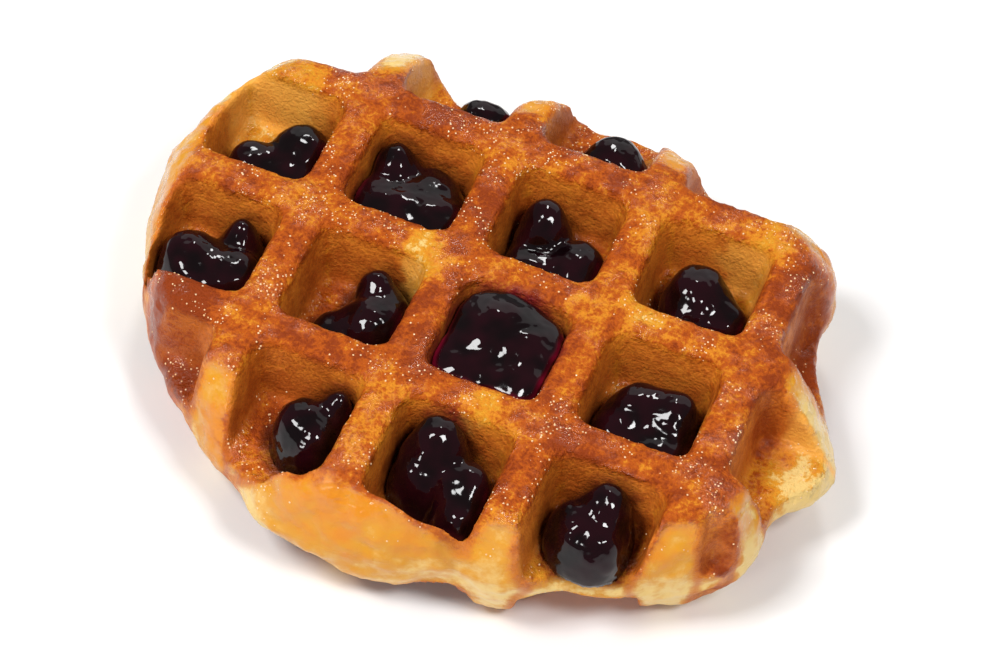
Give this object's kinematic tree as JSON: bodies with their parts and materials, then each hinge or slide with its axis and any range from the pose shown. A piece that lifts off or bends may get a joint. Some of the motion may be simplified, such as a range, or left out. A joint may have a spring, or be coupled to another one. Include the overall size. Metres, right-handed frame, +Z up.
{
  "type": "waffle",
  "caption": "Thick puffy waffle with an uneven edge, a square grid pressed into both faces, and glossy dark berry jam in its top pockets.",
  "frame": {"origin": "centre of the bounding box in plan, on the plane that the underside ridges rest on", "axes": "+X along the waffle's length, +Y across it, +Z up through the face that carries the jam"},
  "size_m": [0.1168, 0.0923, 0.0291],
  "materials": {
    "dough": "baked golden brown crust with a thin sugar glaze",
    "jam": "wet, glossy"
  },
  "bodies": {
    "root": {"dough": "dough", "jam_back_left": "jam", "jam_back_right": "jam", "jam_left_far": "jam", "jam_centre_left_far": "jam", "jam_centre_far": "jam", "jam_right_far": "jam", "jam_left": "jam", "jam_centre_left": "jam", "jam_centre": "jam", "jam_right": "jam", "jam_front_left": "jam", "jam_front": "jam", "jam_front_right": "jam"}
  },
  "joints": []
}
